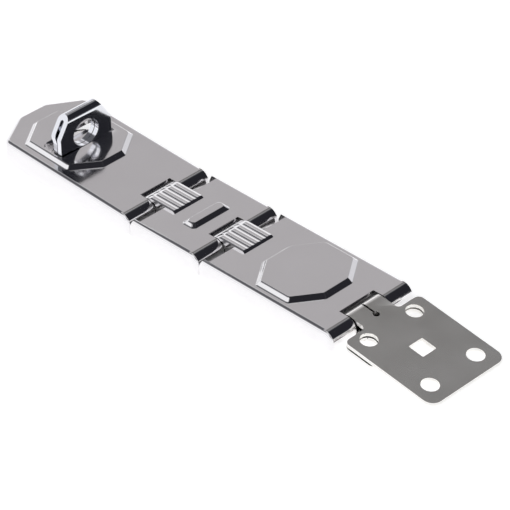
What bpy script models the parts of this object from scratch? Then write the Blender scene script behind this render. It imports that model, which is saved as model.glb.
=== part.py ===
"""Double-jointed hasp with its staple, laid flat and closed over the staple.

World frame: +X runs along the hasp from the staple end to the fixing leaf, +Y across it, +Z up.
The origin is under the middle of the whole assembly, on the surface it lies on.
Sizes are in millimetres until a mesh is made. Each link is modelled about the axis of its
right-hand hinge, and its parent empty puts that axis in the world.
"""

import math

import bmesh
import bpy

MM = 0.001
NARROW = 0.3
OVERLAP = 0.5
FAR = 30.0

# Sheet, rolled knuckles and channels
SHEET = 1.3
ROLL = 3.7
ROLL_TURN = 300
ROLL_STEPS = 24
WIDTH = 36.0
DEPTH = 7.4
BEND = 1.6
BEND_STEPS = 4
AXIS_HEIGHT = DEPTH - ROLL
INNER_HALF = WIDTH / 2 - SHEET
SLEEVE = ROLL - SHEET

# Distances from hinge axis to hinge axis, and from the outer axes to the ends
NOSE_REACH = 63.1
MIDDLE_PITCH = 31.3
COVER_PITCH = 57.9
LEAF_REACH = 42.6

# Ends of a link, measured from a hinge axis
FLANGE_START = 4.5
FLANGE_SLOPE = (1.6, 2.4)
SHEET_START = 7.8
END_CORNER = (2.4, 2.0)
END_STEP = 0.04
NOSE_CORNER = (7.3, 12.4)

# Slots that the rolled tongues turn in
LINK_SLOT = (3.2, 6.45)
LEAF_SLOT = (3.5, 7.5)

# Ribbed tongues, the cross bar and the raised octagons
TONGUE_HALF = 6.1
RIB_HALF = 6.3
RIB_COUNT = 5
RIB_STEPS = 8
RIB_VALLEY = 0.75
RIB_RISE = 0.22
RIB_STATIONS = ((-0.8, 0.0), (1.6, 1.0), (11.7, 1.0), (12.9, 0.0))
BAR_CENTRE = -10.8
BAR_HALF = (2.9, 8.3)
BAR_RISE = 1.3
BAR_SLOPE = 1.4
BAR_ROUNDING = 1.6
OCTAGON_RISE = 1.5
OCTAGON_SLOPE = 1.7
OCTAGON_CUT = (7.0, 10.0)
NOSE_OCTAGON = (-39.2, 17.15, 14.75)
COVER_OCTAGON = (-24.3, 13.85, 15.65)
STAPLE_SLOT = (-38.8, 5.0, 11.7)
STAPLE_SLOT_SHIFT = -1.0
STAPLE_SLOT_CORNER = 3.0

# Fixing leaf
LEAF_DROOP = math.radians(8.17)
LEAF_HALF = 16.35
LEAF_START = 6.7
LEAF_CORNER = 3.6
LEAF_INNER_CORNER = 2.0
LEAF_FILLET = 1.4
FLAP_END = 19.0
FLAP_DROP = 0.6
LEAF_TONGUE_HALF = 7.1
NEAR_HOLES = 10.8
FAR_HOLES = 35.8
HOLE_SIDE = 10.0
SCREW_HOLE = 2.9
BOLT_HOLE_X = 23.4
BOLT_HOLE_HALF = 2.95
SLIT_HALF = 0.35
SLIT_END = 4.3
SLIT_EYE = 1.15

# Hinge pins
PIN_RADIUS = 2.15
PIN_HALF = 16.3
PIN_CHAMFER = 0.3

# Staple and its base plate
NOSE_LIFT = math.radians(2.3)
STRAP = 1.7
STRAP_HALF = 10.9
STRAP_NECK = 0.98
STRAP_SPREAD = 1.14
SPREAD_FROM = 14.2
SPREAD_TO = 17.0
STRAP_TOP = 23.4
STRAP_BEND = 1.5
SHOULDER = 8.8
TENON_HALF = 7.0
CHAMFER_START = 16.2
STRAP_CROWN_HALF = 6.3
LOCK_HOLE = (5.4, 4.75)
LOCK_HOLE_Z = 14.8
FOOT_REACH = 3.6
BASE_SHEET = 2.0
BASE_HALF = (19.0, 14.25)
BASE_CUT = (5.0, 6.0)
SEAT_HALF = (8.0, 10.0)
SEAT_SLOPE = 3.0
SEAT_CUT = (3.6, 5.2)
SEAT_TOP = 8.4
BASE_HOLE = 2.5
BASE_HOLE_AT = (15.0, 7.5)
STAPLE_AT = (-35.85, -1.1)


def clear_scene():
    for old in list(bpy.data.objects):
        bpy.data.objects.remove(old)


def metal(name, colour, roughness):
    material = bpy.data.materials.new(name)
    material.use_nodes = True
    shader = material.node_tree.nodes["Principled BSDF"]
    shader.inputs["Base Color"].default_value = (*colour, 1)
    shader.inputs["Metallic"].default_value = 1.0
    shader.inputs["Roughness"].default_value = roughness
    return material


def pivot(name, place, turn=0.0):
    empty = bpy.data.objects.new(name, None)
    empty.location = [value * MM for value in place]
    empty.rotation_euler = (0, turn, 0)
    bpy.context.scene.collection.objects.link(empty)
    return empty


def stack(name, rings, parent, axis="Z"):
    """A closed body through rings of equal point counts, each (outline, height along the axis)."""
    place = {
        "X": lambda a, b, c: (c, a, b),
        "Y": lambda a, b, c: (a, c, b),
        "Z": lambda a, b, c: (a, b, c),
    }[axis]
    build = bmesh.new()
    layers = []
    for outline, height in rings:
        points = [place(a, b, height) for a, b in outline]
        layers.append([build.verts.new([value * MM for value in point]) for point in points])
    for low, high in zip(layers, layers[1:]):
        for index in range(len(low)):
            after = (index + 1) % len(low)
            build.faces.new((low[index], low[after], high[after], high[index]))
    build.faces.new(layers[0][::-1])
    build.faces.new(layers[-1])
    bmesh.ops.recalc_face_normals(build, faces=build.faces)
    mesh = bpy.data.meshes.new(name)
    build.to_mesh(mesh)
    build.free()
    piece = bpy.data.objects.new(name, mesh)
    piece.parent = parent
    bpy.context.scene.collection.objects.link(piece)
    return piece


def prism(name, outline, low, high, parent, axis="Z"):
    return stack(name, [(outline, low), (outline, high)], parent, axis)


def combine(piece, helper, operation):
    modifier = piece.modifiers.new(helper.name, "BOOLEAN")
    modifier.object = helper
    modifier.operation = operation
    modifier.solver = "EXACT"
    helper.hide_render = True
    helper.display_type = "WIRE"


def finish(piece, material):
    piece.data.materials.append(material)
    piece.data.shade_smooth()
    piece.data.set_sharp_from_angle(angle=math.radians(35))


def rectangle(low_x, high_x, low_y, high_y):
    return [(low_x, low_y), (high_x, low_y), (high_x, high_y), (low_x, high_y)]


def arc(centre, radius, start, end, steps):
    """Points round a centre from one angle to another, in degrees."""
    angles = [math.radians(start + (end - start) * step / steps) for step in range(steps + 1)]
    return [(centre[0] + radius * math.cos(a), centre[1] + radius * math.sin(a)) for a in angles]


def rounded(low_x, high_x, low_y, high_y, radius, steps=6):
    corners = (
        (high_x - radius, high_y - radius, 0),
        (low_x + radius, high_y - radius, 90),
        (low_x + radius, low_y + radius, 180),
        (high_x - radius, low_y + radius, 270),
    )
    return [
        point
        for x, y, start in corners
        for point in arc((x, y), radius, start, start + 90, steps)
    ]


def ellipse(centre, radii, steps=32):
    angles = [math.tau * step / steps for step in range(steps)]
    return [(centre[0] + radii[0] * math.cos(a), centre[1] + radii[1] * math.sin(a)) for a in angles]


def octagon(centre, half_x, half_y, cut):
    """A rectangle about (centre, 0) with its four corners cut off by cut = (along X, along Y)."""
    flat_x = half_x - cut[0]
    flat_y = half_y - cut[1]
    return [
        (centre + flat_x, -half_y),
        (centre + half_x, -flat_y),
        (centre + half_x, flat_y),
        (centre + flat_x, half_y),
        (centre - flat_x, half_y),
        (centre - half_x, flat_y),
        (centre - half_x, -flat_y),
        (centre - flat_x, -half_y),
    ]


def inset(outline, distance):
    """The convex outline, anticlockwise, with every side moved inwards by the distance."""
    moved = []
    for index, corner in enumerate(outline):
        before = outline[index - 1]
        after = outline[(index + 1) % len(outline)]
        first = math.atan2(corner[1] - before[1], corner[0] - before[0])
        second = math.atan2(after[1] - corner[1], after[0] - corner[0])
        bisector = (first + math.remainder(second - first, math.tau) / 2) + math.pi / 2
        reach = distance / math.cos(math.remainder(second - first, math.tau) / 2)
        moved.append((corner[0] + reach * math.cos(bisector), corner[1] + reach * math.sin(bisector)))
    return moved


def strip(path, thickness):
    """The outline of a strip of sheet, whose middle line is an open path of points."""
    left = []
    right = []
    for index, point in enumerate(path):
        before = path[max(index - 1, 0)]
        after = path[min(index + 1, len(path) - 1)]
        into = math.atan2(point[1] - before[1], point[0] - before[0]) if index else None
        out = math.atan2(after[1] - point[1], after[0] - point[0]) if index < len(path) - 1 else None
        into = out if into is None else into
        out = into if out is None else out
        half_turn = math.remainder(out - into, math.tau) / 2
        normal = into + half_turn + math.pi / 2
        reach = thickness / 2 / math.cos(half_turn)
        step = (reach * math.cos(normal), reach * math.sin(normal))
        left.append((point[0] + step[0], point[1] + step[1]))
        right.append((point[0] - step[0], point[1] - step[1]))
    return right + left[::-1]


def mirrored(points):
    return [(-x, z) for x, z in points]


def dome(outline, height, rise, slope):
    """Rings of a raised area with sloping sides, sunk a little into the sheet at the given height."""
    return [(outline, height - NARROW), (outline, height), (inset(outline, slope), height + rise)]


def tray(name, outline, parent):
    """Sheet bent down all round the outline: flat top, rounded bend and upright flanges."""
    floor = -AXIS_HEIGHT
    outer = [(outline, floor)]
    inner_outline = inset(outline, SHEET)
    inner = [(inner_outline, floor - 1)]
    for step in range(BEND_STEPS + 1):
        angle = math.pi / 2 * step / BEND_STEPS
        rise = math.sin(angle)
        back = 1 - math.cos(angle)
        outer.append((inset(outline, BEND * back), ROLL - BEND + BEND * rise))
        small = BEND - SHEET
        inner.append((inset(inner_outline, small * back), SLEEVE - small + small * rise))
    shell = stack(name, outer, parent)
    combine(shell, stack(name + "_hollow", inner, parent), "DIFFERENCE")
    return shell


def end_edge(shrink):
    """The end of a flange seen along the hinge, moved inwards by an amount, and closed far outside."""
    back, up = END_CORNER
    radius = ROLL + END_STEP - shrink
    edge = arc((0, 0), radius, 90, 0, 8)
    for x, z in arc((0, 0), 1, 0, -90, 6):
        edge.append((radius - back + back * x, up - AXIS_HEIGHT + up * z))
    return edge + [(radius - back, -FAR), (FAR * 2, -FAR), (FAR * 2, FAR), (0, FAR)]


def trim_hinge_end(link, parent):
    """Rounds the flanges about the hinge axis, with the bend carried on, and opens the middle."""
    half = WIDTH / 2
    bends = []
    for step in range(BEND_STEPS + 1):
        angle = math.pi / 2 * step / BEND_STEPS
        bends.append((half - BEND * (1 - math.cos(angle)), BEND * (1 - math.sin(angle))))
    rings = [(end_edge(BEND), -FAR)]
    rings += [(end_edge(shrink), -across) for across, shrink in bends]
    rings += [(end_edge(shrink), across) for across, shrink in bends[::-1]]
    rings.append((end_edge(BEND), FAR))
    combine(link, stack(link.name + "_end", rings, parent, "Y"), "DIFFERENCE")
    between = rectangle(0, FAR, -INNER_HALF, INNER_HALF)
    combine(link, prism(link.name + "_gap", between, -FAR, FAR, parent), "DIFFERENCE")


def roll_path(start_x):
    """Middle line of sheet that runs along the top and rolls down round an axis on its right."""
    middle = ROLL - SHEET / 2
    turned = arc((0, 0), middle, 90, 90 - ROLL_TURN, ROLL_STEPS)
    return [(start_x, middle)] + turned


def add_knuckles(link, slot_half, parent):
    outline = strip(roll_path(-OVERLAP), SHEET)
    for side, low, high in (
        ("near", -INNER_HALF - OVERLAP, -slot_half),
        ("far", slot_half, INNER_HALF + OVERLAP),
    ):
        knuckle = prism(f"{link.name}_{side}_knuckle", outline, low, high, parent, "Y")
        combine(link, knuckle, "UNION")


def cut_tongue_slot(link, slot, parent):
    back, half = slot
    opening = rectangle(-back, FAR, -half, half)
    cutter = prism(link.name + "_slot", opening, SLEEVE - OVERLAP, FAR, parent)
    combine(link, cutter, "DIFFERENCE")


def trim_tongue_end(link, pitch, parent):
    """Ends the flanges just short of the last link's, and the sheet clear of its knuckles."""
    back, down = FLANGE_SLOPE
    flange_end = [
        (-pitch - FAR, -FAR),
        (-pitch + FLANGE_START, -FAR),
        (-pitch + FLANGE_START, ROLL - down),
        (-pitch + FLANGE_START + back, ROLL + 1),
        (-pitch - FAR, ROLL + 1),
    ]
    combine(link, prism(link.name + "_start", flange_end, -FAR, FAR, parent, "Y"), "DIFFERENCE")
    sheet_end = rectangle(-pitch - FAR, -pitch + SHEET_START, -INNER_HALF, INNER_HALF)
    combine(link, prism(link.name + "_notch", sheet_end, -FAR, FAR, parent), "DIFFERENCE")


def add_tongue(link, pitch, parent):
    path = mirrored(roll_path(-SHEET_START - OVERLAP))
    outline = [(x - pitch, z) for x, z in strip(path, SHEET)]
    tongue = prism(link.name + "_tongue", outline, -TONGUE_HALF, TONGUE_HALF, parent, "Y")
    combine(link, tongue, "UNION")


def rib_section(scale):
    """Across the tongue: rounded ribs side by side, their feet sunk into the sheet."""
    foot = ROLL - NARROW
    section = [(RIB_HALF, foot)]
    points = RIB_COUNT * RIB_STEPS
    for step in range(points + 1):
        across = RIB_HALF * (1 - 2 * step / points)
        crest = abs(math.sin(math.pi * step / RIB_STEPS))
        section.append((across, ROLL - NARROW / 2 + scale * (RIB_VALLEY + RIB_RISE * crest)))
    section.append((-RIB_HALF, foot))
    return section[::-1]


def add_ribs(link, pitch, parent):
    rings = [(rib_section(scale), at - pitch) for at, scale in RIB_STATIONS]
    combine(link, stack(link.name + "_ribs", rings, parent, "X"), "UNION")


def add_octagon(link, place, parent):
    centre, half_x, half_y = place
    outline = octagon(centre, half_x, half_y, OCTAGON_CUT)
    rings = dome(outline, ROLL, OCTAGON_RISE, OCTAGON_SLOPE)
    combine(link, stack(link.name + "_octagon", rings, parent), "UNION")
    hollow = inset(outline, SHEET)
    rings = [(hollow, SLEEVE - 1), (hollow, SLEEVE), (inset(hollow, OCTAGON_SLOPE), SLEEVE + OCTAGON_RISE)]
    combine(link, stack(link.name + "_octagon_hollow", rings, parent), "DIFFERENCE")


def add_cross_bar(link, parent):
    half_x, half_y = BAR_HALF
    sides = (BAR_CENTRE - half_x, BAR_CENTRE + half_x, -half_y, half_y)
    outline = rounded(*sides, BAR_ROUNDING, 4)
    rings = dome(outline, ROLL, BAR_RISE, BAR_SLOPE)
    combine(link, stack(link.name + "_bar", rings, parent), "UNION")


def make_slotted_link(parent):
    half = WIDTH / 2
    back, across = NOSE_CORNER
    outline = [
        (-NOSE_REACH + back, -half),
        (FAR, -half),
        (FAR, half),
        (-NOSE_REACH + back, half),
        (-NOSE_REACH, half - across),
        (-NOSE_REACH, across - half),
    ]
    link = tray("slotted_link", outline, parent)
    trim_hinge_end(link, parent)
    add_knuckles(link, LINK_SLOT[1], parent)
    cut_tongue_slot(link, LINK_SLOT, parent)
    add_octagon(link, NOSE_OCTAGON, parent)
    centre, half_x, half_y = STAPLE_SLOT
    low_y = STAPLE_SLOT_SHIFT - half_y
    high_y = STAPLE_SLOT_SHIFT + half_y
    rear = centre - half_x + STAPLE_SLOT_CORNER
    opening = [(centre + half_x, low_y), (centre + half_x, high_y)]
    opening += arc((rear, high_y - STAPLE_SLOT_CORNER), STAPLE_SLOT_CORNER, 90, 180, 6)
    opening += arc((rear, low_y + STAPLE_SLOT_CORNER), STAPLE_SLOT_CORNER, 180, 270, 6)
    combine(link, prism("staple_slot", opening, 0, FAR, parent), "DIFFERENCE")
    return link


def make_plain_link(name, pitch, slot, parent):
    half = WIDTH / 2
    link = tray(name, rectangle(-pitch - FAR, FAR, -half, half), parent)
    trim_hinge_end(link, parent)
    trim_tongue_end(link, pitch, parent)
    add_knuckles(link, slot[1], parent)
    cut_tongue_slot(link, slot, parent)
    add_tongue(link, pitch, parent)
    add_ribs(link, pitch, parent)
    return link


def leaf_profile():
    """Middle line of the leaf's strap: along the top, round the pin and up under itself as a flap."""
    middle = ROLL - SHEET / 2
    flap = ROLL - SHEET - FLAP_DROP - SHEET / 2
    around = arc((0, 0), middle, 90, 315, ROLL_STEPS)
    end = around[-1]
    slope_end = (end[0] + flap - end[1], flap)
    return [(LEAF_START + 1, middle)] + around + [slope_end, (LEAF_START + 2, flap)]


def leaf_outline():
    """Plan of the leaf's top layer, with the narrower tongue and the fillets that widen it."""
    tongue = LEAF_TONGUE_HALF
    fillet = LEAF_FILLET
    far_side = arc((LEAF_REACH - LEAF_CORNER, LEAF_HALF - LEAF_CORNER), LEAF_CORNER, 0, 90, 6)
    inner = (LEAF_START + LEAF_INNER_CORNER, LEAF_HALF - LEAF_INNER_CORNER)
    far_side += arc(inner, LEAF_INNER_CORNER, 90, 180, 4)
    far_side += arc((LEAF_START - fillet, tongue + fillet), fillet, 0, -90, 4)
    far_side.append((0, tongue))
    return far_side + [(x, -y) for x, y in far_side[::-1]]


def make_leaf(parent):
    profile = strip(leaf_profile(), SHEET)
    half = LEAF_TONGUE_HALF
    leaf = prism("fixing_leaf", profile, -half, half, parent, "Y")
    top = prism("leaf_top", leaf_outline(), SLEEVE, ROLL, parent)
    combine(leaf, top, "UNION")
    flap_top = ROLL - SHEET - FLAP_DROP
    flap_outline = rounded(LEAF_START, FLAP_END, -LEAF_HALF, LEAF_HALF, LEAF_INNER_CORNER)
    flap = prism("leaf_flap", flap_outline, flap_top - SHEET, flap_top, parent)
    combine(leaf, flap, "UNION")
    for index, x in enumerate((NEAR_HOLES, FAR_HOLES)):
        for side in (-1, 1):
            circle = ellipse((x, side * HOLE_SIDE), (SCREW_HOLE, SCREW_HOLE))
            hole = prism(f"leaf_hole_{index}_{side + 1}", circle, -FAR, FAR, parent)
            combine(leaf, hole, "DIFFERENCE")
    bolt = BOLT_HOLE_HALF
    square = rounded(BOLT_HOLE_X - bolt, BOLT_HOLE_X + bolt, -bolt, bolt, 0.4, 3)
    combine(leaf, prism("leaf_bolt_hole", square, -FAR, FAR, parent), "DIFFERENCE")
    slit = rectangle(-1.5, SLIT_END, -SLIT_HALF, SLIT_HALF)
    combine(leaf, prism("leaf_slit", slit, SLEEVE - OVERLAP, FAR, parent), "DIFFERENCE")
    eye = ellipse((SLIT_END, 0), (SLIT_EYE, SLIT_EYE), 20)
    combine(leaf, prism("leaf_slit_eye", eye, SLEEVE - OVERLAP, FAR, parent), "DIFFERENCE")
    return leaf


def make_pin(name, parent):
    full = ellipse((0, 0), (PIN_RADIUS, PIN_RADIUS), 24)
    small = ellipse((0, 0), (PIN_RADIUS - PIN_CHAMFER, PIN_RADIUS - PIN_CHAMFER), 24)
    rings = [
        (small, -PIN_HALF),
        (full, -PIN_HALF + PIN_CHAMFER),
        (full, PIN_HALF - PIN_CHAMFER),
        (small, PIN_HALF),
    ]
    return stack(name, rings, parent, "Y")


def staple_path():
    """Middle line of the strap: clinched foot, upright front, folded crown and leaning back."""
    foot = SEAT_TOP - BASE_SHEET - NARROW - STRAP / 2
    crown = STRAP_TOP - STRAP / 2
    front = [(FOOT_REACH, foot), (STRAP_NECK, foot)]
    bend = arc((STRAP_NECK - STRAP_BEND, crown - STRAP_BEND), STRAP_BEND, 0, 90, 6)
    eye = STRAP_NECK + STRAP_SPREAD
    back = [
        (STRAP_BEND - eye, crown),
        (-eye, crown - STRAP_BEND),
        (-eye, SPREAD_TO),
        (-STRAP_NECK, SPREAD_FROM),
        (-STRAP_NECK, foot),
        (-FOOT_REACH, foot),
    ]
    back[:2] = arc((STRAP_BEND - eye, crown - STRAP_BEND), STRAP_BEND, 90, 180, 6)
    return front + bend + back


def make_staple(parent):
    loop = prism("staple", strip(staple_path(), STRAP), -STRAP_HALF, STRAP_HALF, parent, "Y")
    face = [
        (-TENON_HALF, 0),
        (TENON_HALF, 0),
        (TENON_HALF, SHOULDER),
        (STRAP_HALF + 1, SHOULDER),
        (STRAP_HALF + 1, CHAMFER_START),
        (STRAP_HALF, CHAMFER_START),
        (STRAP_CROWN_HALF, STRAP_TOP),
        (STRAP_CROWN_HALF, STRAP_TOP + 1),
    ]
    face += mirrored(face)[::-1][:-1]
    face = [point for index, point in enumerate(face) if point != face[index - 1]]
    combine(loop, prism("staple_outline", face, -FAR, FAR, parent, "X"), "INTERSECT")
    hole = ellipse((0, LOCK_HOLE_Z), LOCK_HOLE, 40)
    combine(loop, prism("padlock_hole", hole, -FAR, FAR, parent, "X"), "DIFFERENCE")
    return loop


def make_base_plate(parent):
    plate_outline = octagon(0, *BASE_HALF, BASE_CUT)
    base = prism("staple_base_plate", plate_outline, 0, BASE_SHEET, parent)
    seat = octagon(0, *SEAT_HALF, SEAT_CUT)
    foot = inset(seat, -SEAT_SLOPE)
    rings = [(foot, BASE_SHEET - NARROW), (foot, BASE_SHEET), (seat, SEAT_TOP)]
    combine(base, stack("staple_seat", rings, parent), "UNION")
    hollow_foot = inset(foot, BASE_SHEET)
    hollow = inset(seat, BASE_SHEET)
    hollow_top = SEAT_TOP - BASE_SHEET
    rings = [(hollow_foot, -1), (hollow_foot, 0), (hollow, hollow_top)]
    combine(base, stack("staple_seat_hollow", rings, parent), "DIFFERENCE")
    half_x = STRAP_NECK + STRAP / 2 + NARROW
    half_y = TENON_HALF + NARROW
    opening = rectangle(-half_x, half_x, -half_y, half_y)
    combine(base, prism("tenon_slot", opening, 1, FAR, parent), "DIFFERENCE")
    for x in (-BASE_HOLE_AT[0], BASE_HOLE_AT[0]):
        for y in (-BASE_HOLE_AT[1], BASE_HOLE_AT[1]):
            circle = ellipse((x, y), (BASE_HOLE, BASE_HOLE), 24)
            hole = prism(f"base_hole_{x:.0f}_{y:.0f}", circle, -1, BASE_SHEET + 1, parent)
            combine(base, hole, "DIFFERENCE")
    return base


def reach_left():
    """How far the lifted nose stands out to the left of the staple link's hinge axis."""
    return NOSE_REACH * math.cos(NOSE_LIFT) + AXIS_HEIGHT * math.sin(NOSE_LIFT)


def reach_right():
    """How far the drooping leaf stands out to the right of its hinge axis."""
    return LEAF_REACH * math.cos(LEAF_DROOP) + ROLL * math.sin(LEAF_DROOP)


def main():
    clear_scene()
    plated = metal("bright_plated_steel", (0.62, 0.62, 0.61), 0.12)
    hardened = metal("hardened_plated_steel", (0.5, 0.51, 0.53), 0.2)
    pin_steel = metal("pin_steel", (0.45, 0.45, 0.46), 0.3)

    length = reach_left() + MIDDLE_PITCH + COVER_PITCH + reach_right()
    leaf_x = length / 2 - reach_right()
    cover_x = leaf_x - COVER_PITCH
    middle_x = cover_x - MIDDLE_PITCH
    leaf_pivot = pivot("leaf_pivot", (leaf_x, 0, AXIS_HEIGHT), LEAF_DROOP)
    cover_pivot = pivot("cover_pivot", (leaf_x, 0, AXIS_HEIGHT))
    middle_pivot = pivot("middle_pivot", (cover_x, 0, AXIS_HEIGHT))
    nose_pivot = pivot("nose_pivot", (middle_x, 0, AXIS_HEIGHT), NOSE_LIFT)
    staple_foot = pivot("staple_foot", (middle_x + STAPLE_AT[0], STAPLE_AT[1], 0))

    finish(make_leaf(leaf_pivot), plated)
    cover = make_plain_link("cover_link", COVER_PITCH, LEAF_SLOT, cover_pivot)
    add_octagon(cover, COVER_OCTAGON, cover_pivot)
    finish(cover, plated)
    middle = make_plain_link("middle_link", MIDDLE_PITCH, LINK_SLOT, middle_pivot)
    add_cross_bar(middle, middle_pivot)
    finish(middle, plated)
    finish(make_slotted_link(nose_pivot), plated)
    finish(make_pin("leaf_hinge_pin", cover_pivot), pin_steel)
    finish(make_pin("second_hinge_pin", middle_pivot), pin_steel)
    finish(make_pin("first_hinge_pin", nose_pivot), pin_steel)
    finish(make_staple(staple_foot), hardened)
    finish(make_base_plate(staple_foot), plated)


main()
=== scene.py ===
import math

import bmesh
import bpy
from mathutils import Matrix, Vector


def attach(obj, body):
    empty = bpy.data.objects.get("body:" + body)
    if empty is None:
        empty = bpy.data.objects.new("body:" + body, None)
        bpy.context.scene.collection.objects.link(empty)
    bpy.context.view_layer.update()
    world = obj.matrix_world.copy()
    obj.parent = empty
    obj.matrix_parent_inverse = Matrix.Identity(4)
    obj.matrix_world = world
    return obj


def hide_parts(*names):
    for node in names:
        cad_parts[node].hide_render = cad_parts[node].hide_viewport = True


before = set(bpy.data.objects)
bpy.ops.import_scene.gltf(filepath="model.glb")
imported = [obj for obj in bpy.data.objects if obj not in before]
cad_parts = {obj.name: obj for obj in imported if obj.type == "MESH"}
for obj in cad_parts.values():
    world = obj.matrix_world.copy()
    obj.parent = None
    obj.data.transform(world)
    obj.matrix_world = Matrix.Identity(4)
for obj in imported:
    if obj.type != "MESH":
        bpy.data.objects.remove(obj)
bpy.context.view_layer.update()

# Lengths are in millimetres until shape() scales them to metres.
MM = 0.001

# How far helpers sink into a piece, overlap it, or stand clear of it
NARROW = 0.3
OVERLAP = 0.5
FAR = 30.0

# Cleaning and rounding of the finished meshes
MERGE = 0.012
FLAT_ANGLE = math.radians(0.6)
SHARP_ANGLE = math.radians(38)
SHORTEST = 0.3
EDGE = 0.2
STAPLE_EDGE = 0.25
EDGE_SEGMENTS = 2
NORMAL_WEIGHT = 70

# Sheet, rolled knuckles and channels, with the CAD's own sizes
SHEET = 1.3
ROLL = 3.7
ROLL_TURN = 300
ROLL_STEPS = 50
WIDTH = 36.0
DEPTH = 7.4
BEND = 1.6
BEND_STEPS = 8
AXIS_HEIGHT = DEPTH - ROLL
INNER_HALF = WIDTH / 2 - SHEET
SLEEVE = ROLL - SHEET
NOSE_REACH = 63.1
MIDDLE_PITCH = 31.3
COVER_PITCH = 57.9
LEAF_REACH = 42.6
FLANGE_START = 4.5
FLANGE_SLOPE = (1.6, 2.4)
SHEET_START = 7.8
END_CORNER = (2.4, 2.0)
END_STEP = 0.005
END_STEPS = (15, 10)
NOSE_CORNER = (7.3, 12.4)
NOSE_ROUNDING = 3.5
NOSE_STEPS = 6
LINK_SLOT = (3.2, 6.45)
LEAF_SLOT = (3.5, 7.5)
TONGUE_HALF = 6.1

# Pressed details. A rib station is a distance from the hinge axis and a share of the full height.
RIB_HALF = 6.3
RIB_COUNT = 5
RIB_STEPS = 10
RIB_VALLEY = 0.75
RIB_RISE = 0.22
RIB_POWER = 0.8
RIB_STATIONS = (
    (-0.8, 0.0),
    (-0.3, 0.2),
    (0.4, 0.6),
    (1.1, 0.9),
    (1.6, 1.0),
    (11.7, 1.0),
    (12.1, 0.85),
    (12.9, 0.0),
)
BAR_CENTRE = -10.8
BAR_HALF = (2.9, 8.3)
BAR_RISE = 1.3
BAR_SLOPE = 1.5
BAR_ROUNDING = 1.3
OCTAGON_RISE = 1.5
OCTAGON_SLOPE = 1.7
OCTAGON_CUT = (7.0, 10.0)
OCTAGON_ROUNDING = 1.4
PRESS_STEPS = 8
NOSE_OCTAGON = (-39.2, 17.15, 14.75)
COVER_OCTAGON = (-24.3, 13.85, 15.65)
STAPLE_SLOT = (-38.8, 5.0, 11.7)
STAPLE_SLOT_SHIFT = -1.0
STAPLE_SLOT_CORNER = 3.0
STAPLE_SLOT_STEPS = 6

# Fixing leaf
LEAF_DROOP = math.radians(8.17)
LEAF_HALF = 16.35
LEAF_START = 6.7
LEAF_CORNER = 3.6
LEAF_INNER_CORNER = 2.0
LEAF_FILLET = 1.4
FLAP_END = 19.0
FLAP_DROP = 0.6
LEAF_TONGUE_HALF = 7.1
NEAR_HOLES = 10.8
FAR_HOLES = 35.8
HOLE_SIDE = 10.0
SCREW_HOLE = 2.9
BOLT_HOLE_X = 23.4
BOLT_HOLE_HALF = 2.95
BOLT_HOLE_CORNER = 0.4
SLIT_HALF = 0.35
SLIT_START = -1.5
SLIT_END = 4.3
SLIT_EYE = 1.15

# Staple
NOSE_LIFT = math.radians(2.3)
STRAP = 1.7
STRAP_HALF = 10.9
STRAP_NECK = 0.98
STRAP_SPREAD = 1.14
SPREAD_FROM = 14.2
SPREAD_TO = 17.0
STRAP_TOP = 23.4
STRAP_BEND = 1.5
STRAP_BEND_STEPS = 10
SHOULDER = 8.8
TENON_HALF = 7.0
CHAMFER_START = 16.2
STRAP_CROWN_HALF = 6.3
LOCK_HOLE = (5.4, 4.75)
LOCK_HOLE_Z = 14.8
FOOT_REACH = 3.6
BASE_SHEET = 2.0
SEAT_TOP = 8.4
STAPLE_AT = (-35.85, -1.1)

# Metal: noise scales per metre, and the depth of the ripple in metres
TINT_SCALE = 90.0
TINT_DETAIL = 3.0
GLOSS_DRIFT = 0.25
RIPPLE_SCALE = 420.0
RIPPLE_DETAIL = 2.0
RIPPLE_DEPTH = 0.0002

# Surroundings: azimuth, elevation, full and faded half angles in degrees, colour
STUDIO_WHITE = (1.0, 1.0, 1.02)
STUDIO_PATCHES = (
    (190, 60, 24, 33, (0.13, 0.13, 0.14)),
    (0, 90, 22, 34, (0.04, 0.04, 0.045)),
    (-22, 48, 16, 34, (0.02, 0.02, 0.025)),
    (60, 35, 30, 56, (0.02, 0.02, 0.025)),
    (100, 10, 12, 24, (0.75, 0.75, 0.78)),
    (135, 35, 7, 13, (0.47, 0.455, 0.465)),
    (125, 46, 4, 9, (0.165, 0.161, 0.158)),
)

# Floor, with the shaded patch under the links
FLOOR_SIZE = 6.0
FLOOR_WHITE = 0.9
FLOOR_GLOW = 0.55
SHADE_CENTRE = -15.0
SHADE_HALF = (68.0, 13.5)
SHADE_FADE = 3.5

# Lamp and camera, in metres, except the camera's distance along X from the leaf's hinge axis
LAMP_PLACE = (0.3, -0.5, 1.6)
LAMP_SIZE = 1.2
LAMP_POWER = 9
CAMERA_LENS = 214.8
CAMERA_SENSOR = 36.0
CAMERA_CLIP = (0.05, 50)
CAMERA_X = 507.6
CAMERA_YZ = (-0.5345, 0.5533)
CAMERA_AXES = (
    (0.7040, 0.7099, -0.0201),
    (-0.4014, 0.4211, 0.8134),
    (0.5858, -0.5646, 0.5814),
)


# ---------------------------------------------------------------- outlines

def rectangle(low_x, high_x, low_y, high_y):
    return [(low_x, low_y), (high_x, low_y), (high_x, high_y), (low_x, high_y)]


def arc(centre, radius, start, end, steps):
    """Points round a centre from one angle to another, in degrees."""
    angles = [math.radians(start + (end - start) * step / steps) for step in range(steps + 1)]
    return [(centre[0] + radius * math.cos(a), centre[1] + radius * math.sin(a)) for a in angles]


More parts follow.
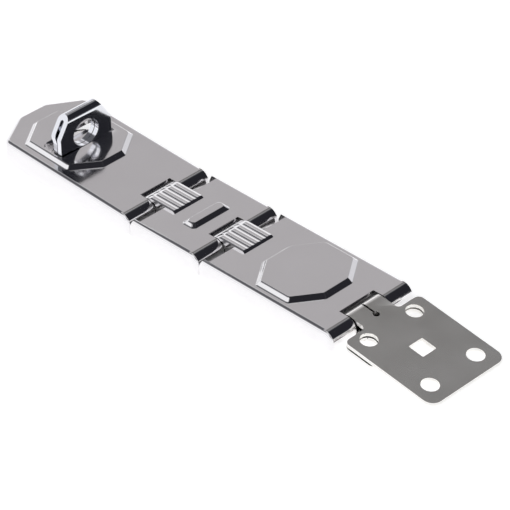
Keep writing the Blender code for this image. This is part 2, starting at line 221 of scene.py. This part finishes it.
def round_corners(outline, radius, steps=5):
    """The outline with each corner replaced by an arc; radius is a number or one per corner."""
    result = []
    for index, corner in enumerate(outline):
        reach = radius if isinstance(radius, (int, float)) else radius[index]
        before = Vector(outline[index - 1])
        after = Vector(outline[(index + 1) % len(outline)])
        point = Vector(corner)
        if reach <= 0:
            result.append(tuple(point))
            continue
        into = (before - point).normalized()
        out = (after - point).normalized()
        half = into.angle(out) / 2
        back = reach / math.tan(half)
        start = point + into * back
        end = point + out * back
        centre = point + (into + out).normalized() * (reach / math.sin(half))
        first = math.atan2(start.y - centre.y, start.x - centre.x)
        last = math.atan2(end.y - centre.y, end.x - centre.x)
        sweep = math.remainder(last - first, math.tau)
        for step in range(steps + 1):
            angle = first + sweep * step / steps
            result.append((centre.x + reach * math.cos(angle), centre.y + reach * math.sin(angle)))
    return result


def rounded(low_x, high_x, low_y, high_y, radius, steps=6):
    return round_corners(rectangle(low_x, high_x, low_y, high_y), radius, steps)


def ellipse(centre, radii, steps=48):
    angles = [math.tau * step / steps for step in range(steps)]
    return [(centre[0] + radii[0] * math.cos(a), centre[1] + radii[1] * math.sin(a)) for a in angles]


def octagon(centre, half_x, half_y, cut):
    flat_x = half_x - cut[0]
    flat_y = half_y - cut[1]
    return [
        (centre + flat_x, -half_y),
        (centre + half_x, -flat_y),
        (centre + half_x, flat_y),
        (centre + flat_x, half_y),
        (centre - flat_x, half_y),
        (centre - half_x, flat_y),
        (centre - half_x, -flat_y),
        (centre - flat_x, -half_y),
    ]


def inset(outline, distance):
    """The outline, anticlockwise, with every side moved inwards by the distance."""
    moved = []
    for index, corner in enumerate(outline):
        before = outline[index - 1]
        after = outline[(index + 1) % len(outline)]
        first = math.atan2(corner[1] - before[1], corner[0] - before[0])
        second = math.atan2(after[1] - corner[1], after[0] - corner[0])
        half_turn = math.remainder(second - first, math.tau) / 2
        bisector = first + half_turn + math.pi / 2
        reach = distance / math.cos(half_turn)
        moved.append((corner[0] + reach * math.cos(bisector), corner[1] + reach * math.sin(bisector)))
    return moved


def strip(path, thickness):
    """The outline of a strip of sheet, whose middle line is an open path of points."""
    left = []
    right = []
    for index, point in enumerate(path):
        before = path[max(index - 1, 0)]
        after = path[min(index + 1, len(path) - 1)]
        if index == 0:
            before = (2 * point[0] - after[0], 2 * point[1] - after[1])
        if index == len(path) - 1:
            after = (2 * point[0] - before[0], 2 * point[1] - before[1])
        into = math.atan2(point[1] - before[1], point[0] - before[0])
        out = math.atan2(after[1] - point[1], after[0] - point[0])
        half_turn = math.remainder(out - into, math.tau) / 2
        normal = into + half_turn + math.pi / 2
        reach = thickness / 2 / math.cos(half_turn)
        step = (reach * math.cos(normal), reach * math.sin(normal))
        left.append((point[0] + step[0], point[1] + step[1]))
        right.append((point[0] - step[0], point[1] - step[1]))
    return right + left[::-1]


def mirrored(points):
    return [(-x, z) for x, z in points]


# ---------------------------------------------------------------- bodies and booleans

def stack(name, rings, axis="Z"):
    """A closed body through rings of equal point counts, each (outline, height along the axis)."""
    place = {
        "X": lambda a, b, c: (c, a, b),
        "Y": lambda a, b, c: (a, c, b),
        "Z": lambda a, b, c: (a, b, c),
    }[axis]
    build = bmesh.new()
    layers = [
        [build.verts.new(place(a, b, height)) for a, b in outline]
        for outline, height in rings
    ]
    for low, high in zip(layers, layers[1:]):
        for index in range(len(low)):
            after = (index + 1) % len(low)
            build.faces.new((low[index], low[after], high[after], high[index]))
    build.faces.new(layers[0][::-1])
    build.faces.new(layers[-1])
    bmesh.ops.recalc_face_normals(build, faces=build.faces)
    mesh = bpy.data.meshes.new(name)
    build.to_mesh(mesh)
    build.free()
    piece = bpy.data.objects.new(name, mesh)
    bpy.context.scene.collection.objects.link(piece)
    return piece


def prism(name, outline, low, high, axis="Z"):
    return stack(name, [(outline, low), (outline, high)], axis)


def combine(piece, helper, operation):
    modifier = piece.modifiers.new(helper.name, "BOOLEAN")
    modifier.object = helper
    modifier.operation = operation
    modifier.solver = "EXACT"


def tidy_mesh(mesh):
    """Drops slivers that the Booleans leave, and marks the sharp edges that are safe to round."""
    build = bmesh.new()
    build.from_mesh(mesh)
    bmesh.ops.remove_doubles(build, verts=build.verts, dist=MERGE)
    bmesh.ops.dissolve_degenerate(build, edges=build.edges, dist=MERGE)
    bmesh.ops.dissolve_limit(build, angle_limit=FLAT_ANGLE, verts=build.verts, edges=build.edges)
    weight = build.edges.layers.float.new("bevel_weight_edge")
    for face in build.faces:
        face.smooth = True
    for edge in build.edges:
        around = [other.calc_length() for vertex in edge.verts for other in vertex.link_edges]
        corner = edge.is_manifold and edge.calc_face_angle() > SHARP_ANGLE
        eased = corner and min(around) > SHORTEST
        edge[weight] = float(eased)
        edge.smooth = eased or not corner
    build.to_mesh(mesh)
    build.free()


def shape(piece, place, edge=EDGE):
    """Joins and cuts the piece, rounds its sharp edges a little, and places it, in metres."""
    helpers = [modifier.object for modifier in piece.modifiers]
    graph = bpy.context.evaluated_depsgraph_get()
    mesh = bpy.data.meshes.new_from_object(piece.evaluated_get(graph))
    name = piece.name
    for helper in helpers:
        bpy.data.objects.remove(helper)
    bpy.data.objects.remove(piece)
    tidy_mesh(mesh)
    mesh.transform(Matrix.Scale(MM, 4))
    mesh.materials.clear()
    result = bpy.data.objects.new(name, mesh)
    bpy.context.scene.collection.objects.link(result)
    result.matrix_world = place
    bevel = result.modifiers.new("edges", "BEVEL")
    bevel.limit_method = "WEIGHT"
    bevel.width = edge * MM
    bevel.segments = EDGE_SEGMENTS
    bevel.use_clamp_overlap = True
    weighted = result.modifiers.new("weighted_normals", "WEIGHTED_NORMAL")
    weighted.weight = NORMAL_WEIGHT
    weighted.keep_sharp = True
    return result


# ---------------------------------------------------------------- links

def tray(name, outline):
    """A channel with an open underside: a bent-over top on walls of sheet round the outline."""
    floor = -AXIS_HEIGHT
    outer = [(outline, floor)]
    inner_outline = inset(outline, SHEET)
    inner = [(inner_outline, floor - 1)]
    for step in range(BEND_STEPS + 1):
        angle = math.pi / 2 * step / BEND_STEPS
        rise = math.sin(angle)
        back = 1 - math.cos(angle)
        outer.append((inset(outline, BEND * back), ROLL - BEND + BEND * rise))
        small = BEND - SHEET
        inner.append((inset(inner_outline, small * back), SLEEVE - small + small * rise))
    shell = stack(name, outer)
    combine(shell, stack(name + "_hollow", inner), "DIFFERENCE")
    return shell


def end_edge(shrink):
    """The end of a flange seen along the hinge, moved inwards by an amount, and closed far outside."""
    back, up = END_CORNER
    radius = ROLL + END_STEP - shrink
    round_steps, corner_steps = END_STEPS
    edge = arc((0, 0), radius, 90, 0, round_steps)
    for x, z in arc((0, 0), 1, 0, -90, corner_steps):
        edge.append((radius - back + back * x, up - AXIS_HEIGHT + up * z))
    return edge + [(radius - back, -FAR), (FAR * 2, -FAR), (FAR * 2, FAR), (0, FAR)]


def trim_hinge_end(link):
    """Rounds the flanges about the hinge axis, with the bend carried on, and opens the middle."""
    half = WIDTH / 2
    bends = []
    for step in range(BEND_STEPS + 1):
        angle = math.pi / 2 * step / BEND_STEPS
        bends.append((half - BEND * (1 - math.cos(angle)), BEND * (1 - math.sin(angle))))
    rings = [(end_edge(BEND), -FAR)]
    rings += [(end_edge(shrink), -across) for across, shrink in bends]
    rings += [(end_edge(shrink), across) for across, shrink in bends[::-1]]
    rings.append((end_edge(BEND), FAR))
    combine(link, stack(link.name + "_end", rings, "Y"), "DIFFERENCE")
    between = rectangle(0, FAR, -INNER_HALF, INNER_HALF)
    combine(link, prism(link.name + "_gap", between, -FAR, FAR), "DIFFERENCE")


def roll_path(start_x):
    middle = ROLL - SHEET / 2
    turned = arc((0, 0), middle, 90, 90 - ROLL_TURN, ROLL_STEPS)
    return [(start_x, middle)] + turned


def add_knuckles(link, slot_half):
    outline = strip(roll_path(-OVERLAP), SHEET)
    for side, low, high in (
        ("near", -INNER_HALF - OVERLAP, -slot_half),
        ("far", slot_half, INNER_HALF + OVERLAP),
    ):
        combine(link, prism(f"{link.name}_{side}_knuckle", outline, low, high, "Y"), "UNION")


def cut_tongue_slot(link, slot):
    back, half = slot
    opening = rectangle(-back, FAR, -half, half)
    combine(link, prism(link.name + "_slot", opening, SLEEVE - OVERLAP, FAR), "DIFFERENCE")


def trim_tongue_end(link, pitch):
    back, down = FLANGE_SLOPE
    flange_end = [
        (-pitch - FAR * 2, -FAR),
        (-pitch + FLANGE_START, -FAR),
        (-pitch + FLANGE_START, ROLL - down),
        (-pitch + FLANGE_START + back, ROLL + 1),
        (-pitch - FAR * 2, ROLL + 1),
    ]
    combine(link, prism(link.name + "_start", flange_end, -FAR, FAR, "Y"), "DIFFERENCE")
    sheet_end = rectangle(-pitch - FAR * 2, -pitch + SHEET_START, -INNER_HALF, INNER_HALF)
    combine(link, prism(link.name + "_notch", sheet_end, -FAR, FAR), "DIFFERENCE")


def add_tongue(link, pitch):
    path = mirrored(roll_path(-SHEET_START - OVERLAP))
    outline = [(x - pitch, z) for x, z in strip(path, SHEET)]
    combine(link, prism(link.name + "_tongue", outline, -TONGUE_HALF, TONGUE_HALF, "Y"), "UNION")


def rib_section(scale):
    foot = ROLL - NARROW
    section = [(RIB_HALF, foot)]
    points = RIB_COUNT * RIB_STEPS
    for step in range(points + 1):
        across = RIB_HALF * (1 - 2 * step / points)
        crest = abs(math.sin(math.pi * step / RIB_STEPS)) ** RIB_POWER
        section.append((across, ROLL - NARROW / 2 + scale * (RIB_VALLEY + RIB_RISE * crest)))
    section.append((-RIB_HALF, foot))
    return section[::-1]


def add_ribs(link, pitch):
    rings = [(rib_section(scale), at - pitch) for at, scale in RIB_STATIONS]
    combine(link, stack(link.name + "_ribs", rings, "X"), "UNION")


def pressed(outline, rise, slope, rounding):
    """Rings of a raised area whose sides start and end in a curve, as pressed sheet does."""
    foot = round_corners(outline, rounding)
    rings = [(foot, ROLL - NARROW), (foot, ROLL)]
    for step in range(1, PRESS_STEPS + 1):
        share = step / PRESS_STEPS
        ease = share * share * (3 - 2 * share)
        ring = round_corners(inset(outline, slope * share), rounding)
        rings.append((ring, ROLL + rise * (share + ease) / 2))
    return rings


def add_octagon(link, place):
    centre, half_x, half_y = place
    sharp = octagon(centre, half_x, half_y, OCTAGON_CUT)
    rings = pressed(sharp, OCTAGON_RISE, OCTAGON_SLOPE, OCTAGON_ROUNDING)
    combine(link, stack(link.name + "_octagon", rings), "UNION")
    hollow = inset(sharp, SHEET)
    top = inset(hollow, OCTAGON_SLOPE)
    rings = [(hollow, SLEEVE - 1), (hollow, SLEEVE), (top, SLEEVE + OCTAGON_RISE)]
    combine(link, stack(link.name + "_octagon_hollow", rings), "DIFFERENCE")


def add_cross_bar(link):
    half_x, half_y = BAR_HALF
    outline = rectangle(BAR_CENTRE - half_x, BAR_CENTRE + half_x, -half_y, half_y)
    rings = pressed(outline, BAR_RISE, BAR_SLOPE, BAR_ROUNDING)
    combine(link, stack(link.name + "_bar", rings), "UNION")


def make_slotted_link(place):
    half = WIDTH / 2
    back, across = NOSE_CORNER
    outline = [
        (-NOSE_REACH + back, -half),
        (FAR, -half),
        (FAR, half),
        (-NOSE_REACH + back, half),
        (-NOSE_REACH, half - across),
        (-NOSE_REACH, across - half),
    ]
    corners = [NOSE_ROUNDING, 0, 0, NOSE_ROUNDING, NOSE_ROUNDING, NOSE_ROUNDING]
    outline = round_corners(outline, corners, NOSE_STEPS)
    link = tray("slotted_link_shell", outline)
    trim_hinge_end(link)
    add_knuckles(link, LINK_SLOT[1])
    cut_tongue_slot(link, LINK_SLOT)
    add_octagon(link, NOSE_OCTAGON)
    centre, half_x, half_y = STAPLE_SLOT
    low_y = STAPLE_SLOT_SHIFT - half_y
    high_y = STAPLE_SLOT_SHIFT + half_y
    corner = STAPLE_SLOT_CORNER
    rear = centre - half_x + corner
    opening = [(centre + half_x, low_y), (centre + half_x, high_y)]
    opening += arc((rear, high_y - corner), corner, 90, 180, STAPLE_SLOT_STEPS)
    opening += arc((rear, low_y + corner), corner, 180, 270, STAPLE_SLOT_STEPS)
    combine(link, prism("staple_slot", opening, 0, FAR), "DIFFERENCE")
    return shape(link, place)


def make_plain_link(name, pitch, slot, extra, place):
    half = WIDTH / 2
    link = tray(name, rectangle(-pitch - FAR, FAR, -half, half))
    trim_hinge_end(link)
    trim_tongue_end(link, pitch)
    add_knuckles(link, slot[1])
    cut_tongue_slot(link, slot)
    add_tongue(link, pitch)
    add_ribs(link, pitch)
    extra(link)
    return shape(link, place)


def leaf_profile():
    middle = ROLL - SHEET / 2
    flap = SLEEVE - FLAP_DROP - SHEET / 2
    around = arc((0, 0), middle, 90, 315, ROLL_STEPS)
    end = around[-1]
    slope_end = (end[0] + flap - end[1], flap)
    return [(LEAF_START + 1, middle)] + around + [slope_end, (LEAF_START + 2, flap)]


def leaf_outline():
    tongue = LEAF_TONGUE_HALF
    fillet = LEAF_FILLET
    far_side = arc((LEAF_REACH - LEAF_CORNER, LEAF_HALF - LEAF_CORNER), LEAF_CORNER, 0, 90, 10)
    inner = (LEAF_START + LEAF_INNER_CORNER, LEAF_HALF - LEAF_INNER_CORNER)
    far_side += arc(inner, LEAF_INNER_CORNER, 90, 180, 7)
    far_side += arc((LEAF_START - fillet, tongue + fillet), fillet, 0, -90, 6)
    far_side.append((0, tongue))
    return far_side + [(x, -y) for x, y in far_side[::-1]]


def make_leaf(place):
    profile = strip(leaf_profile(), SHEET)
    half = LEAF_TONGUE_HALF
    leaf = prism("fixing_leaf_plate", profile, -half, half, "Y")
    combine(leaf, prism("leaf_top", leaf_outline(), SLEEVE, ROLL), "UNION")
    flap_top = SLEEVE - FLAP_DROP
    flap_outline = rounded(LEAF_START, FLAP_END, -LEAF_HALF, LEAF_HALF, LEAF_INNER_CORNER)
    combine(leaf, prism("leaf_flap", flap_outline, flap_top - SHEET, flap_top), "UNION")
    for index, x in enumerate((NEAR_HOLES, FAR_HOLES)):
        for side in (-1, 1):
            circle = ellipse((x, side * HOLE_SIDE), (SCREW_HOLE, SCREW_HOLE))
            combine(leaf, prism(f"leaf_hole_{index}_{side + 1}", circle, -FAR, FAR), "DIFFERENCE")
    bolt = BOLT_HOLE_HALF
    square = rounded(BOLT_HOLE_X - bolt, BOLT_HOLE_X + bolt, -bolt, bolt, BOLT_HOLE_CORNER, 3)
    combine(leaf, prism("leaf_bolt_hole", square, -FAR, FAR), "DIFFERENCE")
    slit = rectangle(SLIT_START, SLIT_END, -SLIT_HALF, SLIT_HALF)
    combine(leaf, prism("leaf_slit", slit, SLEEVE - OVERLAP, FAR), "DIFFERENCE")
    eye = ellipse((SLIT_END, 0), (SLIT_EYE, SLIT_EYE), 24)
    combine(leaf, prism("leaf_slit_eye", eye, SLEEVE - OVERLAP, FAR), "DIFFERENCE")
    return shape(leaf, place)


def staple_path():
    foot = SEAT_TOP - BASE_SHEET - NARROW - STRAP / 2
    crown = STRAP_TOP - STRAP / 2
    front = [(FOOT_REACH, foot), (STRAP_NECK, foot)]
    bend = arc((STRAP_NECK - STRAP_BEND, crown - STRAP_BEND), STRAP_BEND, 0, 90, STRAP_BEND_STEPS)
    eye = STRAP_NECK + STRAP_SPREAD
    back = arc((STRAP_BEND - eye, crown - STRAP_BEND), STRAP_BEND, 90, 180, STRAP_BEND_STEPS)
    back += [
        (-eye, SPREAD_TO),
        (-STRAP_NECK, SPREAD_FROM),
        (-STRAP_NECK, foot),
        (-FOOT_REACH, foot),
    ]
    return front + bend + back


def make_staple(place):
    loop = prism("staple_loop", strip(staple_path(), STRAP), -STRAP_HALF, STRAP_HALF, "Y")
    face = [
        (-TENON_HALF, 0),
        (TENON_HALF, 0),
        (TENON_HALF, SHOULDER),
        (STRAP_HALF + 1, SHOULDER),
        (STRAP_HALF + 1, CHAMFER_START),
        (STRAP_HALF, CHAMFER_START),
        (STRAP_CROWN_HALF, STRAP_TOP),
        (STRAP_CROWN_HALF, STRAP_TOP + 1),
    ]
    face += mirrored(face)[::-1][:-1]
    face = [point for index, point in enumerate(face) if point != face[index - 1]]
    combine(loop, prism("staple_outline", face, -FAR, FAR, "X"), "INTERSECT")
    hole = ellipse((0, LOCK_HOLE_Z), LOCK_HOLE, 64)
    combine(loop, prism("padlock_hole", hole, -FAR, FAR, "X"), "DIFFERENCE")
    return shape(loop, place, STAPLE_EDGE)


# ---------------------------------------------------------------- materials

def metal(name, colour, roughness, bump, patch):
    """Plated steel: tint and gloss that drift a little from place to place, over a faint ripple."""
    material = bpy.data.materials.new(name)
    material.use_nodes = True
    nodes = material.node_tree.nodes
    links = material.node_tree.links
    shader = nodes["Principled BSDF"]
    shader.inputs["Metallic"].default_value = 1.0
    place = nodes.new("ShaderNodeTexCoord")
    wide = nodes.new("ShaderNodeTexNoise")
    wide.inputs["Scale"].default_value = TINT_SCALE
    wide.inputs["Detail"].default_value = TINT_DETAIL
    links.new(place.outputs["Object"], wide.inputs["Vector"])
    tint = nodes.new("ShaderNodeMix")
    tint.data_type = "RGBA"
    links.new(wide.outputs["Fac"], tint.inputs["Factor"])
    tint.inputs["A"].default_value = (*[value * (1 - patch) for value in colour], 1)
    tint.inputs["B"].default_value = (*[min(value * (1 + patch), 1) for value in colour], 1)
    links.new(tint.outputs["Result"], shader.inputs["Base Color"])
    gloss = nodes.new("ShaderNodeMapRange")
    gloss.inputs["To Min"].default_value = roughness * (1 - GLOSS_DRIFT)
    gloss.inputs["To Max"].default_value = roughness * (1 + GLOSS_DRIFT)
    links.new(wide.outputs["Fac"], gloss.inputs["Value"])
    links.new(gloss.outputs["Result"], shader.inputs["Roughness"])
    fine = nodes.new("ShaderNodeTexNoise")
    fine.inputs["Scale"].default_value = RIPPLE_SCALE
    fine.inputs["Detail"].default_value = RIPPLE_DETAIL
    links.new(place.outputs["Object"], fine.inputs["Vector"])
    ripple = nodes.new("ShaderNodeBump")
    ripple.inputs["Strength"].default_value = bump
    ripple.inputs["Distance"].default_value = RIPPLE_DEPTH
    links.new(fine.outputs["Fac"], ripple.inputs["Height"])
    links.new(ripple.outputs["Normal"], shader.inputs["Normal"])
    return material


def paint(piece, material):
    piece.data.materials.clear()
    piece.data.materials.append(material)


# ---------------------------------------------------------------- studio

def direction(azimuth, elevation):
    a = math.radians(azimuth)
    e = math.radians(elevation)
    return Vector((math.cos(a) * math.cos(e), math.sin(a) * math.cos(e), math.sin(e)))


def make_world():
    """White surroundings with dark and grey patches, which the plated faces reflect."""
    world = bpy.data.worlds.new("studio")
    world.use_nodes = True
    nodes = world.node_tree.nodes
    links = world.node_tree.links
    background = nodes["Background"]
    place = nodes.new("ShaderNodeTexCoord")
    previous = None
    for azimuth, elevation, full, faded, colour in STUDIO_PATCHES:
        dot = nodes.new("ShaderNodeVectorMath")
        dot.operation = "DOT_PRODUCT"
        links.new(place.outputs["Generated"], dot.inputs[0])
        dot.inputs[1].default_value = direction(azimuth, elevation)
        span = nodes.new("ShaderNodeMapRange")
        span.interpolation_type = "SMOOTHSTEP"
        span.inputs["From Min"].default_value = math.cos(math.radians(faded))
        span.inputs["From Max"].default_value = math.cos(math.radians(full))
        links.new(dot.outputs["Value"], span.inputs["Value"])
        mix = nodes.new("ShaderNodeMix")
        mix.data_type = "RGBA"
        links.new(span.outputs["Result"], mix.inputs["Factor"])
        mix.inputs["A"].default_value = (*STUDIO_WHITE, 1)
        mix.inputs["B"].default_value = (*colour, 1)
        if previous is not None:
            links.new(previous, mix.inputs["A"])
        previous = mix.outputs["Result"]
    links.new(previous, background.inputs["Color"])
    background.inputs["Strength"].default_value = 1.0
    bpy.context.scene.world = world


def shadow_mask(material):
    """The floor's own brightness: none under the links, where hardly any light gets in."""
    nodes = material.node_tree.nodes
    links = material.node_tree.links
    place = nodes.new("ShaderNodeTexCoord")
    parts = nodes.new("ShaderNodeSeparateXYZ")
    links.new(place.outputs["Object"], parts.inputs["Vector"])
    mask = None
    for axis, centre, half in (("X", SHADE_CENTRE, SHADE_HALF[0]), ("Y", 0.0, SHADE_HALF[1])):
        away = nodes.new("ShaderNodeMath")
        away.operation = "SUBTRACT"
        links.new(parts.outputs[axis], away.inputs[0])
        away.inputs[1].default_value = centre * MM
        size = nodes.new("ShaderNodeMath")
        size.operation = "ABSOLUTE"
        links.new(away.outputs["Value"], size.inputs[0])
        beyond = nodes.new("ShaderNodeMath")
        beyond.operation = "SUBTRACT"
        links.new(size.outputs["Value"], beyond.inputs[0])
        beyond.inputs[1].default_value = half * MM
        if mask is None:
            mask = beyond.outputs["Value"]
            continue
        larger = nodes.new("ShaderNodeMath")
        larger.operation = "MAXIMUM"
        links.new(mask, larger.inputs[0])
        links.new(beyond.outputs["Value"], larger.inputs[1])
        mask = larger.outputs["Value"]
    fade = nodes.new("ShaderNodeMapRange")
    fade.interpolation_type = "SMOOTHSTEP"
    fade.inputs["From Min"].default_value = 0.0
    fade.inputs["From Max"].default_value = SHADE_FADE * MM
    fade.inputs["To Min"].default_value = 0.0
    fade.inputs["To Max"].default_value = FLOOR_GLOW
    links.new(mask, fade.inputs["Value"])
    return fade.outputs["Result"]


def make_floor():
    build = bmesh.new()
    bmesh.ops.create_grid(build, x_segments=1, y_segments=1, size=FLOOR_SIZE)
    mesh = bpy.data.meshes.new("floor")
    build.to_mesh(mesh)
    build.free()
    floor = bpy.data.objects.new("floor", mesh)
    bpy.context.scene.collection.objects.link(floor)
    material = bpy.data.materials.new("floor_white")
    material.use_nodes = True
    shader = material.node_tree.nodes["Principled BSDF"]
    shader.inputs["Base Color"].default_value = (FLOOR_WHITE, FLOOR_WHITE, FLOOR_WHITE, 1)
    shader.inputs["Roughness"].default_value = 1.0
    shader.inputs["Emission Color"].default_value = (1, 1, 1, 1)
    glow = shadow_mask(material)
    material.node_tree.links.new(glow, shader.inputs["Emission Strength"])
    floor.data.materials.append(material)


def make_camera(leaf_x):
    camera = bpy.data.cameras.new("camera")
    camera.lens = CAMERA_LENS
    camera.sensor_width = CAMERA_SENSOR
    camera.clip_start, camera.clip_end = CAMERA_CLIP
    holder = bpy.data.objects.new("camera", camera)
    holder.location = ((leaf_x + CAMERA_X) * MM, *CAMERA_YZ)
    holder.rotation_euler = Matrix(CAMERA_AXES).transposed().to_euler()
    bpy.context.scene.collection.objects.link(holder)
    bpy.context.scene.camera = holder


def make_lamp():
    light = bpy.data.lights.new("key_softbox", "AREA")
    light.shape = "SQUARE"
    light.size = LAMP_SIZE
    light.energy = LAMP_POWER
    lamp = bpy.data.objects.new("key_softbox", light)
    lamp.location = LAMP_PLACE
    lamp.rotation_euler = Vector(LAMP_PLACE).to_track_quat("Z", "Y").to_euler()
    lamp.visible_glossy = False
    bpy.context.scene.collection.objects.link(lamp)


# ---------------------------------------------------------------- assembly

def reach_left():
    return NOSE_REACH * math.cos(NOSE_LIFT) + AXIS_HEIGHT * math.sin(NOSE_LIFT)


def reach_right():
    return LEAF_REACH * math.cos(LEAF_DROOP) + ROLL * math.sin(LEAF_DROOP)


def place_at(x, y, z, turn=0.0):
    return Matrix.Translation((x * MM, y * MM, z * MM)) @ Matrix.Rotation(turn, 4, "Y")


def main():
    bpy.context.scene.view_settings.view_transform = "Standard"
    plated = metal("bright_plate", (0.86, 0.85, 0.86), 0.12, 0.05, 0.03)
    leaf_plate = metal("leaf_plate", (0.85, 0.84, 0.82), 0.2, 0.05, 0.03)
    hardened = metal("staple_plate", (0.8, 0.81, 0.85), 0.1, 0.04, 0.03)
    pin_steel = metal("pin_wire", (0.6, 0.6, 0.61), 0.3, 0.05, 0.04)

    length = reach_left() + MIDDLE_PITCH + COVER_PITCH + reach_right()
    leaf_x = length / 2 - reach_right()
    cover_x = leaf_x - COVER_PITCH
    middle_x = cover_x - MIDDLE_PITCH
    make_world()
    make_floor()
    make_lamp()
    make_camera(leaf_x)

    height = AXIS_HEIGHT
    leaf = make_leaf(place_at(leaf_x, 0, height, LEAF_DROOP))
    cover = make_plain_link(
        "cover_link_shell",
        COVER_PITCH,
        LEAF_SLOT,
        lambda link: add_octagon(link, COVER_OCTAGON),
        place_at(leaf_x, 0, height),
    )
    middle = make_plain_link(
        "middle_link_shell",
        MIDDLE_PITCH,
        LINK_SLOT,
        add_cross_bar,
        place_at(cover_x, 0, height),
    )
    nose = make_slotted_link(place_at(middle_x, 0, height, NOSE_LIFT))
    staple = make_staple(place_at(middle_x + STAPLE_AT[0], STAPLE_AT[1], 0))
    pieces = (
        (leaf, "leaf", "fixing_leaf", leaf_plate, "plated_steel"),
        (cover, "cover", "cover_link", plated, "plated_steel"),
        (middle, "middle", "middle_link", plated, "plated_steel"),
        (nose, "nose", "slotted_link", plated, "plated_steel"),
        (staple, "staple", "staple", hardened, "hardened_steel"),
    )
    for piece, body, node, material, slot in pieces:
        paint(piece, material)
        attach(piece, body)
        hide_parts(node)
    for name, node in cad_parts.items():
        if name.endswith("_pin"):
            paint(node, pin_steel)
        elif name == "staple_base_plate":
            paint(node, plated)


main()
